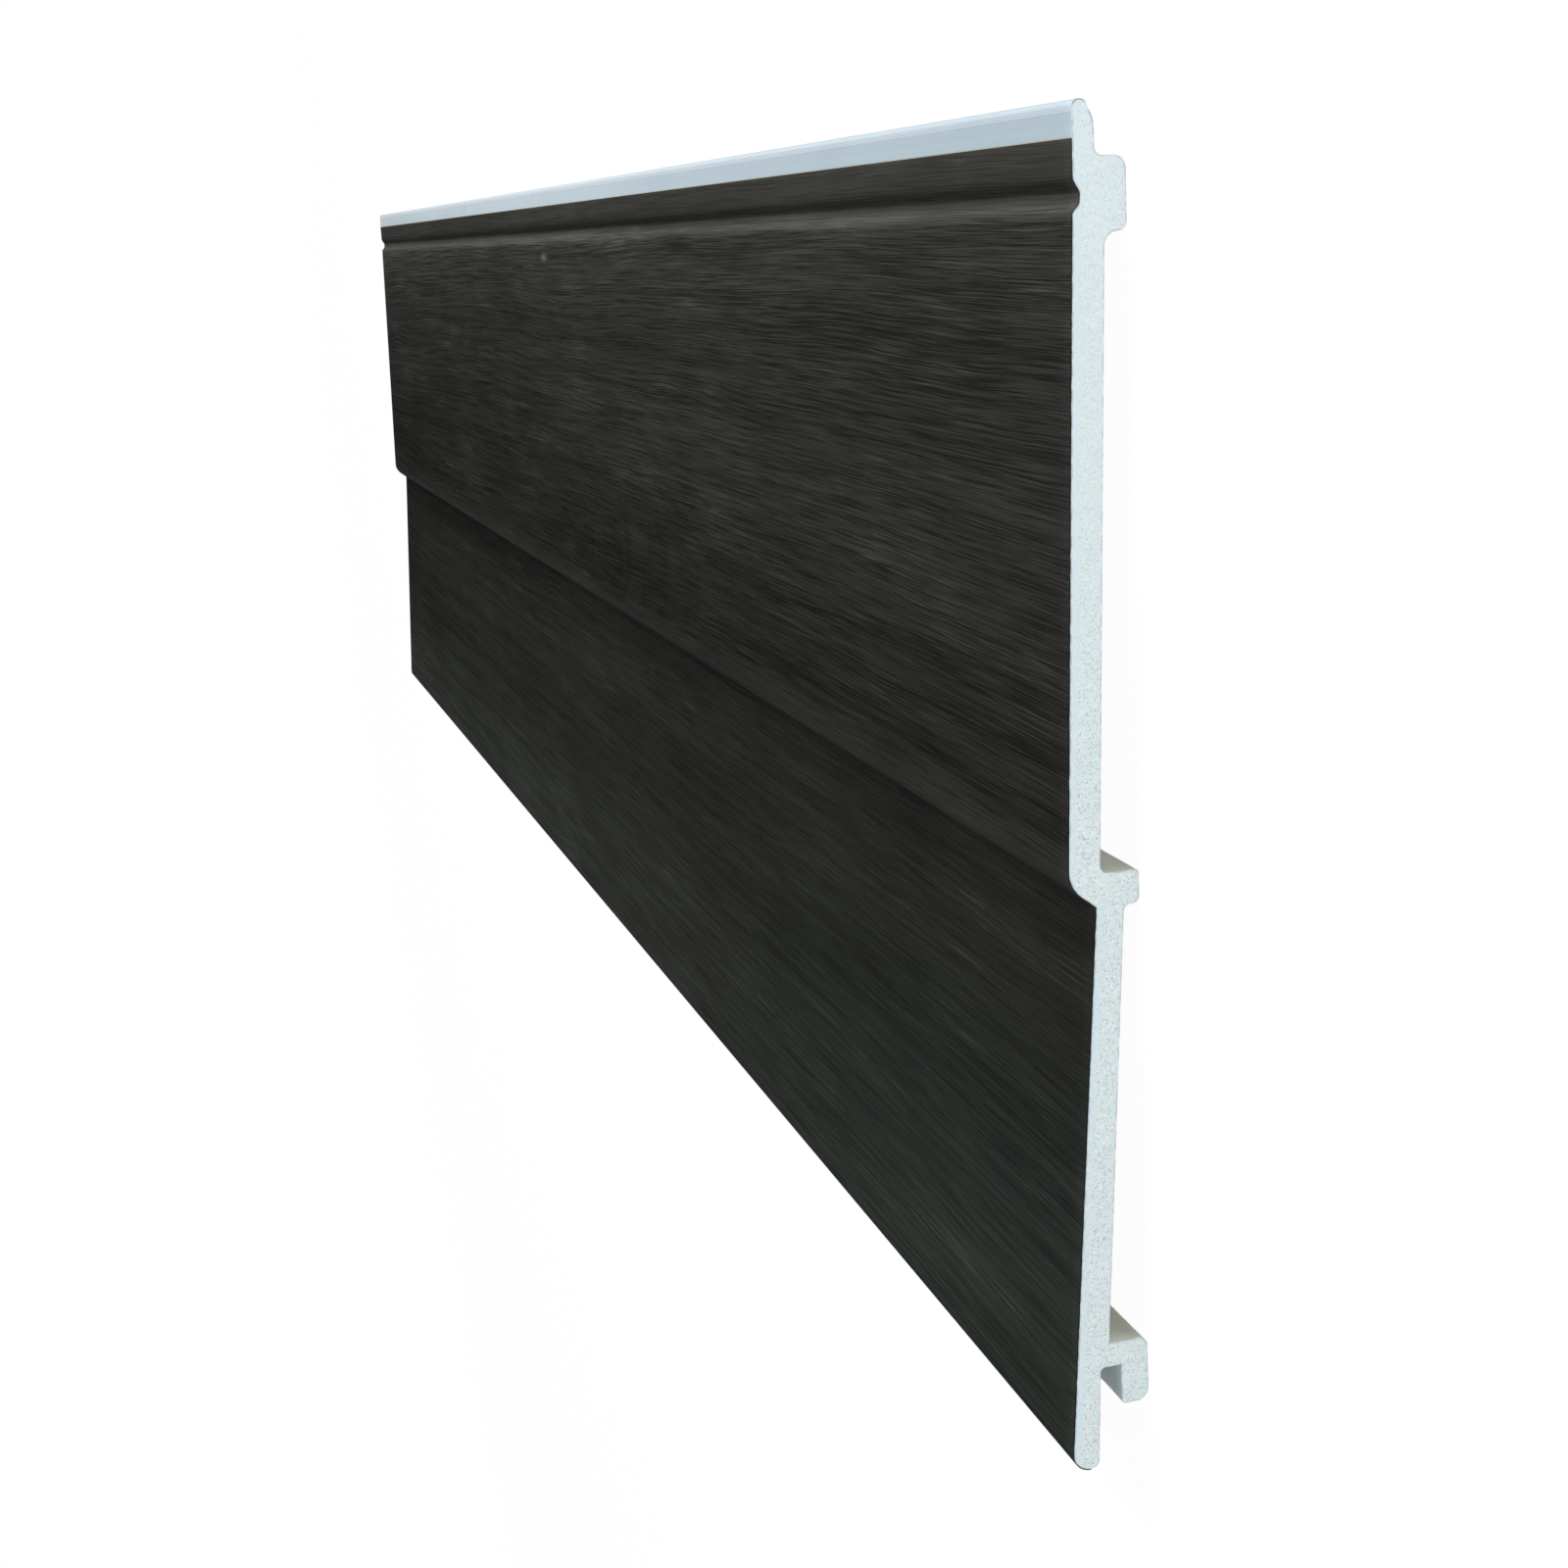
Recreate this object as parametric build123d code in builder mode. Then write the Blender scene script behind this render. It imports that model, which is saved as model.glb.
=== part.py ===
"""Double feather edge cladding board: one foamed plastic extrusion with a woodgrain foil on its face.

The board is cut from a continuous extrusion, so its whole form is one section pulled along its length.
It lies face up on its three back rails, as it lies in a rack before it is fixed to a wall.

X runs along the board. Y runs across it, from the leaf that laps the board below to the tongue that goes
behind the leaf of the board above. Z runs from the wall side to the weather face.
The origin is on the wall plane, under the middle of the board.

The section is drawn from two datums: "across" is the distance from the leaf's bottom edge, and "height"
is the distance from the wall plane. Boards are fixed above each other at a pitch of one cover width.
"""

import os

from build123d import *

# Length and cover, in millimetres
board_length = 1300.0
course_height = 166.5
courses = 2

# Foil on the weather face
foil_thickness = 0.25
foil_margin = 9.1
foil_return = 0.5

# Joint between neighbouring boards
joint_clearance = 0.2
tongue_gap = 1.0
leaf_lap = 29.5

# Tongue, which goes into the slot of the board above
tongue_face_height = 13.95
tongue_thickness = 5.8
tongue_length = 13.3
tongue_root_radius = 2.0
tongue_lead_radius = 8.4

# Nailing flange behind the tongue
flange_width = 17.9
flange_top_radius = 3.4
flange_bottom_radius = 2.5
flange_root_radius = 3.5

# Drip groove in the face, below the tongue
groove_setback = 22.5
groove_depth = 1.8
groove_upper_run = 4.4
groove_lower_run = 5.0
groove_floor_run = 2.8
groove_floor_rise = 0.25
groove_lip_rise = 0.3
groove_upper_radius = 6.0
groove_bottom_radius = 1.6
groove_floor_radius = 1.2
groove_lower_radius = 1.0

# Upper course, which rises from the groove's lip to the nose
upper_rise = 5.5
upper_wall_top = 8.45
upper_wall_bottom = 8.8
nose_radius = 9.0

# Step under the nose, and the rail behind it
step_depth = 7.6
step_fall = 6.2
step_root_radius = 0.6
rail_width = 9.2
rail_drop = 6.5
rail_top_radius = 1.2
rail_inner_radius = 2.0

# Lower course, which rises from the step to the leaf's bottom edge
lower_wall_top = 7.8
lower_wall_bottom = 9.1
leaf_thickness = 7.8
leaf_flare = 0.037

# Hook behind the leaf, which forms the slot
hook_web = 7.0
hook_arm_length = 11.9
hook_top_radius = 3.0
hook_bottom_radius = 3.4
hook_mouth_radius = 1.2
slot_corner_radius = 1.4

# Places across the section that follow from the sizes above
cover_width = courses * course_height
leaf_bottom = 0.0
slot_top = leaf_bottom + leaf_lap
hook_top = slot_top + hook_web
hook_bottom = slot_top - hook_arm_length
nose = course_height
step_root = nose - step_fall
rail_bottom = nose - rail_drop
rail_top = rail_bottom + rail_width
tongue_tip = cover_width + slot_top - tongue_gap
tongue_lead_in = 0.86 * tongue_thickness
flange_top = tongue_tip - tongue_length
flange_bottom = flange_top - flange_width
foil_start = tongue_tip - foil_margin
groove_bottom = tongue_tip - groove_setback
groove_upper_lip = groove_bottom + groove_upper_run
groove_floor_end = groove_bottom - groove_floor_run
groove_lower_lip = groove_bottom - groove_lower_run

# Heights that follow from the sizes above
wall_plane = 0.0
tongue_back_height = tongue_face_height - tongue_thickness
tongue_lead_height = tongue_back_height + 0.52 * tongue_thickness
slot_back_height = tongue_back_height - joint_clearance
groove_bottom_height = tongue_face_height - groove_depth
groove_lip_height = tongue_face_height + groove_lip_rise
nose_height = groove_lip_height + upper_rise
step_root_height = nose_height - step_depth


def leaf_back_height(across):
    """Back of the leaf, which clears the foil on the tongue below it and flares towards its bottom."""
    foil_edge_below = foil_start - cover_width
    foil_face_below = tongue_face_height + foil_thickness
    return foil_face_below + joint_clearance + leaf_flare * (foil_edge_below - across)


leaf_face_height = leaf_back_height(leaf_bottom) + leaf_thickness
leaf_face_radius = 0.62 * leaf_thickness
foil_end_height = leaf_face_height - leaf_face_radius - foil_return


def height_between(low, high, across):
    """Height at a place across the section, on the straight line between two points of it."""
    share = (across - low[0]) / (high[0] - low[0])
    return low[1] + share * (high[1] - low[1])


# Corners of the weather face from the tongue down to the leaf, each with its rounding radius
face_corners = [
    (groove_upper_lip, tongue_face_height, groove_upper_radius),
    (groove_bottom, groove_bottom_height, groove_bottom_radius),
    (groove_floor_end, groove_bottom_height + groove_floor_rise, groove_floor_radius),
    (groove_lower_lip, groove_lip_height, groove_lower_radius),
    (nose, nose_height, nose_radius),
    (step_root, step_root_height, step_root_radius),
    (leaf_bottom, leaf_face_height, leaf_face_radius),
]

# Ends of the straight back of each course
leaf_edge = (leaf_bottom, leaf_face_height)
lower_face_at_hook = height_between(leaf_edge, (step_root, step_root_height), hook_top)
lower_back_low = (hook_top, lower_face_at_hook - lower_wall_bottom)
lower_back_high = (step_root, step_root_height - lower_wall_top)
upper_back_low = (nose, nose_height - upper_wall_bottom)
upper_back_high = (groove_lower_lip, groove_lip_height - upper_wall_top)

# Corners of the wall side from the leaf up to the tongue's tip
hook_corners = [
    (leaf_bottom, leaf_back_height(leaf_bottom), 0.28 * leaf_thickness),
    (slot_top, leaf_back_height(slot_top), slot_corner_radius),
    (slot_top, slot_back_height, 0.0),
    (hook_bottom, slot_back_height, hook_mouth_radius),
    (hook_bottom, wall_plane, hook_bottom_radius),
    (hook_top, wall_plane, hook_top_radius),
    (*lower_back_low, 0.0),
]
rail_foot = height_between(lower_back_low, lower_back_high, rail_bottom)
rail_corners = [
    (rail_bottom, rail_foot, 0.42 * rail_foot),
    (rail_bottom, wall_plane, 0.5 * rail_foot),
    (rail_top, wall_plane, rail_top_radius),
    (rail_top, height_between(upper_back_low, upper_back_high, rail_top), rail_inner_radius),
]
flange_corners = [
    (flange_bottom, height_between(upper_back_low, upper_back_high, flange_bottom), flange_root_radius),
    (flange_bottom, wall_plane, flange_bottom_radius),
    (flange_top, wall_plane, flange_top_radius),
    (flange_top, tongue_back_height, tongue_root_radius),
]
tongue_corners = [
    (tongue_tip - tongue_lead_in, tongue_back_height, tongue_lead_radius),
    (tongue_tip, tongue_lead_height, 0.2 * tongue_thickness),
    (tongue_tip, tongue_face_height, 0.34 * tongue_thickness),
]
board_corners = face_corners + hook_corners + rail_corners + flange_corners + tongue_corners

# The section stands square to the length, with the origin under the middle of its width
section_middle = (tongue_tip - foil_thickness) / 2
section_plane = Plane(
    origin=(-board_length / 2, -section_middle, wall_plane),
    x_dir=(0, 1, 0),
    z_dir=(1, 0, 0),
)

# Foamed plastic board with its closed skin, one solid
with BuildPart() as board:
    with BuildSketch(section_plane):
        with BuildLine():
            FilletPolyline(
                [(across, height) for across, height, radius in board_corners],
                radius=[radius for across, height, radius in board_corners],
                close=True,
            )
        make_face()
    extrude(amount=board_length)

# Woodgrain foil, bonded over the groove, both courses, the nose and round the leaf's bottom edge
foil_path = [(foil_start, tongue_face_height)]
foil_path += [(across, height) for across, height, radius in face_corners]
foil_path += [(leaf_bottom, foil_end_height)]
with BuildPart() as face_foil:
    with BuildSketch(section_plane):
        with BuildLine():
            FilletPolyline(foil_path, radius=[radius for across, height, radius in face_corners])
            offset(amount=foil_thickness, side=Side.RIGHT, closed=True, mode=Mode.REPLACE)
        make_face()
    extrude(amount=board_length)

board.part.label = "board"
face_foil.part.label = "face_foil"

os.makedirs("parts", exist_ok=True)
export_step(board.part, "parts/board.step")
export_step(face_foil.part, "parts/face_foil.step")

print("cover width", cover_width, "overall width", tongue_tip + foil_thickness)
print("board volume", round(board.part.volume), "foil volume", round(face_foil.part.volume))
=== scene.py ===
# %% [markdown]
# # A double feather edge cladding board
#
# The board is a foamed plastic extrusion with a dark woodgrain foil bonded on its weather face. It hangs on
# a wall in rows: the tongue along one edge goes into the slot behind the leaf of the next board. Here it
# lies face up on its three back rails, as it lies in a rack.
#
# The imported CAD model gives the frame: its place, its size and its two nodes. Loading it first means that
# every later piece can be checked against a box that is already right.

# %% Load the frame
import math
import random

import bmesh
import bpy
from mathutils import Matrix, Vector
from mathutils.geometry import delaunay_2d_cdt


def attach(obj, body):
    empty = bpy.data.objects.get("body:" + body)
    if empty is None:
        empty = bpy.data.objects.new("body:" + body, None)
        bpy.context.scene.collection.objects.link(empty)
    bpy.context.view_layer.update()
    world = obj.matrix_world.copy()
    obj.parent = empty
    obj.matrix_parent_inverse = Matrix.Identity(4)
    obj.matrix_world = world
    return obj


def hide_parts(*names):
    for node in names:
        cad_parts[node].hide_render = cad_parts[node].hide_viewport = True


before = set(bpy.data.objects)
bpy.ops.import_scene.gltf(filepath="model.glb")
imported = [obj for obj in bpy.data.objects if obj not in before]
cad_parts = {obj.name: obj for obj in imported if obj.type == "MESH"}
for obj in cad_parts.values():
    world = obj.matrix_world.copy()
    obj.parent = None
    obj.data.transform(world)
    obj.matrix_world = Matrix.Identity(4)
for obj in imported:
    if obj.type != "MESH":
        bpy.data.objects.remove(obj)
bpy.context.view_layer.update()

# %% [markdown]
# ## The camera
#
# A board this long, seen from near one end, shrinks strongly towards the other. That perspective is worth
# more than any other clue, because both sawn ends have the same section: one camera has to fit both. Its
# place and three directions were solved from the corners of the two ends, so they are written down here
# rather than aimed by eye. The picture is turned so that the board's width stands upright in it.

# %% Camera at the viewing angle of the picture
picture_size = 1600
focal_pixels = 2322.49
sensor_width_mm = 36.0
camera_place = Vector((1.168797, 0.154947, 0.245488))
picture_right = Vector((0.29201568, -0.05479658, -0.95484249))
picture_down = Vector((0.21175955, -0.96987459, 0.12042082))
looking_along = Vector((-0.93267612, -0.23736178, -0.27161489))

camera_data = bpy.data.cameras.new("rack_camera")
camera_data.sensor_width = sensor_width_mm
camera_data.lens = focal_pixels * sensor_width_mm / picture_size
camera_data.clip_start = 0.01
camera_data.clip_end = 100.0
camera = bpy.data.objects.new("rack_camera", camera_data)
bpy.context.scene.collection.objects.link(camera)
axes = Matrix((picture_right, -picture_down, -looking_along)).transposed()
camera.matrix_world = Matrix.Translation(camera_place) @ axes.to_4x4()
bpy.context.scene.camera = camera
print("lens", round(camera_data.lens, 3), "mm")

# %% [markdown]
# ## Small helpers for nodes
#
# The background, the floor and every finish are built from many small nodes. A few short helpers keep the
# recipes readable: they add a node and fill its sockets, do arithmetic, spread a value between two limits,
# mix colours and make noise. They come this early because the background already needs them.


# %% Node helpers
class Recipe:
    """One emptied node tree, with short calls that each return the socket they made."""

    def __init__(self, tree):
        self.nodes = tree.nodes
        self.links = tree.links
        self.nodes.clear()

    def put(self, socket, value):
        if isinstance(value, bpy.types.NodeSocket):
            self.links.new(value, socket)
        else:
            socket.default_value = value

    def fill(self, made, inputs):
        """Fills sockets by name and returns the node."""
        for key, value in inputs.items():
            self.put(made.inputs[key.replace("_", " ")], value)
        return made

    def named(self, kind, **inputs):
        """A node with its sockets filled by name. This call returns the node itself."""
        return self.fill(self.nodes.new(kind), inputs)

    def node(self, kind, *values, **settings):
        """A node with its settings, and its sockets filled in order."""
        made = self.nodes.new(kind)
        for key, value in settings.items():
            setattr(made, key, value)
        for socket, value in zip(made.inputs, values):
            self.put(socket, value)
        return made.outputs[0]

    def math(self, operation, *values):
        return self.node("ShaderNodeMath", *values, operation=operation)

    def plus(self, a, b):
        return self.math("ADD", a, b)

    def minus(self, a, b):
        return self.math("SUBTRACT", a, b)

    def times(self, a, b):
        return self.math("MULTIPLY", a, b)

    def over(self, a, b):
        return self.math("DIVIDE", a, b)

    def times_plus(self, a, b, c):
        return self.math("MULTIPLY_ADD", a, b, c)

    def spread(self, value, low, high, to_low=0.0, to_high=1.0):
        """0 below the low limit, 1 above the high one, with a soft rise between them."""
        limits = {"From Min": low, "From Max": high, "To Min": to_low, "To Max": to_high}
        made = self.fill(self.nodes.new("ShaderNodeMapRange"), {"Value": value, **limits})
        made.interpolation_type = "SMOOTHSTEP"
        return made.outputs["Result"]

    def mix(self, share, a, b, blend="MIX"):
        made = self.nodes.new("ShaderNodeMix")
        made.data_type = "RGBA"
        made.blend_type = blend
        for place, value in ((0, share), (6, a), (7, b)):
            self.put(made.inputs[place], value)
        return made.outputs[2]

    def noise(self, vector, scale=1.0, detail=2.0, roughness=0.5):
        grain = {"Vector": vector, "Scale": scale, "Detail": detail, "Roughness": roughness}
        return self.named("ShaderNodeTexNoise", **grain).outputs["Fac"]

    def vector(self, x, y, z=0.0):
        return self.node("ShaderNodeCombineXYZ", x, y, z)


print("helpers ready")

# %% [markdown]
# ## Floor and background
#
# A catalogue picture stands on plain white. White could come from strong lamps, but those would wash out the
# pale plastic too. Instead the background is told apart by the kind of ray: what the camera, a mirror
# reflection or glass looks at is white, while the rays that carry soft light see a calmer grey. The floor
# mixes that white with some ordinary matt surface, so the board's shadow still falls on it.

# %% Background seen by the camera, and softer light for everything else
soft_sky_strength = 0.22


def looked_at_directly(recipe):
    """1 for rays of the camera, of reflections and of glass, 0 for rays that carry soft light."""
    ray = recipe.nodes.new("ShaderNodeLightPath").outputs
    seen = recipe.math("MAXIMUM", ray["Is Camera Ray"], ray["Is Glossy Ray"])
    return recipe.math("MAXIMUM", seen, ray["Is Transmission Ray"])


bpy.context.scene.view_settings.view_transform = "Standard"
world = bpy.data.worlds.new("white_studio")
bpy.context.scene.world = world
world.use_nodes = True
r = Recipe(world.node_tree)
white_sky = r.node("ShaderNodeBackground", (1.0, 1.0, 1.0, 1.0), 1.0)
soft_sky = r.node("ShaderNodeBackground", (0.96, 0.98, 1.0, 1.0), soft_sky_strength)
sky = r.node("ShaderNodeMixShader", looked_at_directly(r), soft_sky, white_sky)
r.named("ShaderNodeOutputWorld", Surface=sky)
print("soft light from all round at", soft_sky_strength)

# %% Pale floor under the rails
floor_half_size = 30.0
shadow_share = 0.08
floor_light = 0.60
shadow_reach = 0.9

signs = [(-1, -1), (1, -1), (1, 1), (-1, 1)]
floor_corners = [(a * floor_half_size, b * floor_half_size, 0) for a, b in signs]
floor_mesh = bpy.data.meshes.new("pale_floor")
floor_mesh.from_pydata(floor_corners, [], [(0, 1, 2, 3)])
floor = bpy.data.objects.new("pale_floor", floor_mesh)
bpy.context.scene.collection.objects.link(floor)

floor_paint = bpy.data.materials.new("pale_floor")
floor_paint.use_nodes = True
r = Recipe(floor_paint.node_tree)
matt = r.node("ShaderNodeBsdfDiffuse", (0.80, 0.80, 0.80, 1.0))
white = r.node("ShaderNodeEmission", (1.0, 1.0, 1.0, 1.0), 1.0)
lit_part = r.node("ShaderNodeBsdfDiffuse", (shadow_share, shadow_share, shadow_share, 1.0))
steady_part = r.node("ShaderNodeEmission", (1.0, 1.0, 1.0, 1.0), 1.0 - shadow_share * floor_light)
near_board = r.node("ShaderNodeAddShader", steady_part, lit_part)
from_board = r.nodes.new("ShaderNodeVectorMath")
from_board.operation = "LENGTH"
r.put(from_board.inputs[0], r.nodes.new("ShaderNodeTexCoord").outputs["Object"])
fade = r.spread(from_board.outputs["Value"], shadow_reach, shadow_reach * 2)
shown = r.node("ShaderNodeMixShader", fade, near_board, white)
by_ray = r.node("ShaderNodeMixShader", looked_at_directly(r), matt, shown)
r.named("ShaderNodeOutputMaterial", Surface=by_ray)
floor_mesh.materials.append(floor_paint)
print("floor keeps", shadow_share, "of the shadow")

# %% [markdown]
# ## Lamps
#
# The sawn end is the brightest surface, the bare tongue is a little darker, and the upper side of the drip
# groove and the foot of the step are in soft shade. So one lamp stands off the near end, and a second one
# stands high on the tongue's side: from there the step throws a shadow just as wide as it is deep. Large
# lamps make soft edges to the shadows, and a weak lamp on the far side keeps the back readable. How much
# each lamp gives was measured one lamp at a time, and the levels were chosen so that a white surface would
# come out just under white.


# %% Three large soft lamps
def soft_lamp(name, place, width, watts):
    """A square lamp at a place, turned to the middle of the board."""
    data = bpy.data.lights.new(name, "AREA")
    data.shape = "SQUARE"
    data.size = width
    data.energy = watts
    lamp = bpy.data.objects.new(name, data)
    lamp.location = Vector(place)
    lamp.rotation_mode = "QUATERNION"
    lamp.rotation_quaternion = (-Vector(place)).to_track_quat("-Z", "Y")
    lamp.visible_camera = False
    bpy.context.scene.collection.objects.link(lamp)
    print(name, "at", place, "with", watts, "W")


soft_lamp("near_end_lamp", (3.2, 0.5, 0.5), 1.6, 58.0)
soft_lamp("tongue_side_lamp", (0.3, 1.5, 1.4), 1.0, 26.0)
soft_lamp("far_fill_lamp", (-2.4, -2.2, 0.7), 1.6, 26.0)

# %% [markdown]
# ## The section
#
# An extrusion is one outline pulled through a die, so one outline decides the whole board. It could be read
# from the CAD mesh, but that has its curves cut into a few flats. The same sizes, written out again as
# corners with a rounding radius each, give curves that stay smooth in a close view. "Across" is the distance
# from the leaf's bottom edge, and "height" is the distance from the wall plane, both in millimetres. Two
# details were measured once more for this close view: the groove lies 0.65 mm nearer the tongue's tip than in
# the CAD solid, with a steeper upper side, and the back of the tip is up to 0.3 mm fuller.

# %% Sizes of the section in millimetres
board_length = 1300.0
course_height = 166.5
cover_width = 2 * course_height
foil_thickness = 0.25
foil_margin = 9.1
foil_return = 0.5
joint_clearance = 0.2
tongue_gap = 1.0
leaf_lap = 29.5
tongue_face_height = 13.95
tongue_thickness = 5.8
tongue_length = 13.3
flange_width = 17.9
groove_setback = 21.85
groove_depth = 1.8
groove_upper_run = 3.1
groove_lower_run = 4.8
groove_floor_run = 2.6
groove_floor_rise = 0.25
groove_lip_rise = 0.3
upper_rise = 5.5
upper_wall_top = 8.45
upper_wall_bottom = 8.8
step_depth = 7.6
step_fall = 6.2
rail_width = 9.2
rail_drop = 6.5
lower_wall_top = 7.8
lower_wall_bottom = 9.1
leaf_thickness = 7.8
leaf_flare = 0.037
hook_web = 7.0
hook_arm_length = 11.9

# %% Places and heights that follow from them
slot_top = leaf_lap
hook_top = slot_top + hook_web
hook_bottom = slot_top - hook_arm_length
nose = course_height
step_root = nose - step_fall
rail_bottom = nose - rail_drop
rail_top = rail_bottom + rail_width
tongue_tip = cover_width + slot_top - tongue_gap
tongue_lead_in = 0.90 * tongue_thickness
flange_top = tongue_tip - tongue_length
flange_bottom = flange_top - flange_width
foil_start = tongue_tip - foil_margin
groove_bottom = tongue_tip - groove_setback
groove_upper_lip = groove_bottom + groove_upper_run
groove_floor_end = groove_bottom - groove_floor_run
groove_lower_lip = groove_bottom - groove_lower_run
tongue_back = tongue_face_height - tongue_thickness
tongue_lead_height = tongue_back + 0.42 * tongue_thickness
slot_back = tongue_back - joint_clearance
groove_bottom_height = tongue_face_height - groove_depth
groove_lip = tongue_face_height + groove_lip_rise
nose_height = groove_lip + upper_rise
step_root_height = nose_height - step_depth


def leaf_back(across):
    """Back of the leaf, which flares towards its bottom."""
    foil_edge_below = foil_start - cover_width
    foil_face_below = tongue_face_height + foil_thickness
    return foil_face_below + joint_clearance + leaf_flare * (foil_edge_below - across)


def height_between(low, high, across):
    """Height on the straight line between two points of the section."""
    share = (across - low[0]) / (high[0] - low[0])
    return low[1] + share * (high[1] - low[1])


leaf_face = leaf_back(0.0) + leaf_thickness
leaf_radius = 0.62 * leaf_thickness
foil_end = leaf_face - leaf_radius - foil_return
print("overall width", round(tongue_tip + foil_thickness, 2), "height of the leaf", round(leaf_face, 2))

# %% Corners of the face and of the wall side, each with its rounding radius
face_corners = [
    (groove_upper_lip, tongue_face_height, 2.6),
    (groove_bottom, groove_bottom_height, 1.6),
    (groove_floor_end, groove_bottom_height + groove_floor_rise, 1.2),
    (groove_lower_lip, groove_lip, 1.0),
    (nose, nose_height, 9.0),
    (step_root, step_root_height, 0.6),
    (0.0, leaf_face, leaf_radius),
]
lower_face_at_hook = height_between((0.0, leaf_face), (step_root, step_root_height), hook_top)
lower_back_low = (hook_top, lower_face_at_hook - lower_wall_bottom)
lower_back_high = (step_root, step_root_height - lower_wall_top)
upper_back_low = (nose, nose_height - upper_wall_bottom)
upper_back_high = (groove_lower_lip, groove_lip - upper_wall_top)
rail_foot = height_between(lower_back_low, lower_back_high, rail_bottom)
wall_corners = [
    (0.0, leaf_back(0.0), 0.28 * leaf_thickness),
    (slot_top, leaf_back(slot_top), 1.4),
    (slot_top, slot_back, 0.0),
    (hook_bottom, slot_back, 1.2),
    (hook_bottom, 0.0, 3.4),
    (hook_top, 0.0, 3.0),
    (*lower_back_low, 0.0),
    (rail_bottom, rail_foot, 0.42 * rail_foot),
    (rail_bottom, 0.0, 0.5 * rail_foot),
    (rail_top, 0.0, 1.2),
    (rail_top, height_between(upper_back_low, upper_back_high, rail_top), 2.0),
    (flange_bottom, height_between(upper_back_low, upper_back_high, flange_bottom), 3.5),
    (flange_bottom, 0.0, 2.5),
    (flange_top, 0.0, 3.4),
    (flange_top, tongue_back, 2.0),
    (tongue_tip - tongue_lead_in, tongue_back, 8.4),
    (tongue_tip, tongue_lead_height, 0.36 * tongue_thickness),
    (tongue_tip, tongue_face_height, 0.34 * tongue_thickness),
]
print(len(face_corners), "corners on the face,", len(wall_corners), "on the wall side")

# %% [markdown]
# ## Rounding the corners
#
# A bevel modifier could round the corners, but every corner here has its own radius, and the foil has to
# follow the same curve a quarter of a millimetre further out. So the rounding is worked out on the outline.
# Each point keeps the direction that faces out of the plastic: moving along it gives the foil's outer side,
# and moving against it gives the fine arris at the sawn ends.


# %% One rounded path of points, each with its outward direction
arc_step = math.radians(5.0)
straight_step = 1.5


def unit(a, b):
    """Direction from a to b across the section."""
    length = math.hypot(b[0] - a[0], b[1] - a[1])
    return (b[0] - a[0]) / length, (b[1] - a[1]) / length


def corner_arc(before, corner, after, radius):
    """Points of one rounded corner as (across, height, out_across, out_height)."""
    d0 = unit(before, corner)
    d1 = unit(corner, after)
    turn = math.atan2(d0[0] * d1[1] - d0[1] * d1[0], d0[0] * d1[0] + d0[1] * d1[1])
    if radius == 0.0 or abs(turn) < 1e-6:
        mid = math.hypot(d0[0] + d1[0], d0[1] + d1[1])
        return [(corner[0], corner[1], (d0[1] + d1[1]) / mid, -(d0[0] + d1[0]) / mid)]
    side = math.copysign(1.0, turn)
    reach = radius * math.tan(abs(turn) / 2)
    start = (corner[0] - d0[0] * reach, corner[1] - d0[1] * reach)
    centre = (start[0] - d0[1] * radius * side, start[1] + d0[0] * radius * side)
    steps = max(2, math.ceil(abs(turn) / arc_step))
    points = []
    for i in range(steps + 1):
        angle = turn * i / steps
        out = (
            d0[1] * math.cos(angle) + d0[0] * math.sin(angle),
            -d0[0] * math.cos(angle) + d0[1] * math.sin(angle),
        )
        points.append((centre[0] + out[0] * radius * side, centre[1] + out[1] * radius * side, *out))
    return points


def with_straights(points, closed):
    """Adds points on the long straights, so that no step is longer than straight_step."""
    filled = []
    for i, here in enumerate(points):
        filled.append(here)
        if i == len(points) - 1 and not closed:
            break
        there = points[(i + 1) % len(points)]
        gap = math.hypot(there[0] - here[0], there[1] - here[1])
        for k in range(1, math.ceil(gap / straight_step)):
            share = k * straight_step / gap
            if share < 0.999:
                out = unit(here, there)
                filled.append((
                    here[0] + (there[0] - here[0]) * share,
                    here[1] + (there[1] - here[1]) * share,
                    out[1],
                    -out[0],
                ))
    return filled


def rounded_path(corners, closed):
    """Rounds every corner of a path. An open path keeps its two end points as they are."""
    points = []
    count = len(corners)
    for i, corner in enumerate(corners):
        if not closed and i in (0, count - 1):
            end = unit(corners[0], corners[1]) if i == 0 else unit(corners[-2], corners[-1])
            points.append((corner[0], corner[1], end[1], -end[0]))
            continue
        points += corner_arc(corners[i - 1], corner, corners[(i + 1) % count], corner[2])
    return with_straights(points, closed)


board_outline = rounded_path(face_corners + wall_corners, closed=True)
foil_line = rounded_path(
    [(foil_start, tongue_face_height, 0.0)] + face_corners + [(0.0, foil_end, 0.0)], closed=False
)
print(len(board_outline), "points round the board,", len(foil_line), "points across the foil")

# %% [markdown]
# ## The foamed plastic board
#
# The board is hard-skinned foam: smooth on every side that touched the die, open-celled where the saw went
# through. Pulling the outline along the length gives the skin. The ends are filled with a fine triangle net,
# because each of its points also remembers how deep it lies under the skin, and the foam's finish needs
# that depth: the cells are small and dense near the skin and larger in the middle. A fine arris runs round
# each sawn end, where the saw's edge was wiped.


# %% From the section to the room
section_middle = (tongue_tip - foil_thickness) / 2
half_length = board_length / 2
arris = 0.15
skin_depth = 0.5
cell_spacing = 0.9


def in_room(along, across, height):
    """A place in millimetres on the section, in metres in the shared frame."""
    return along / 1000, across_place(across), height / 1000


def across_place(millimetres):
    """A distance from the leaf's bottom edge, as a place in the shared frame."""
    return (millimetres - section_middle) / 1000


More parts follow.
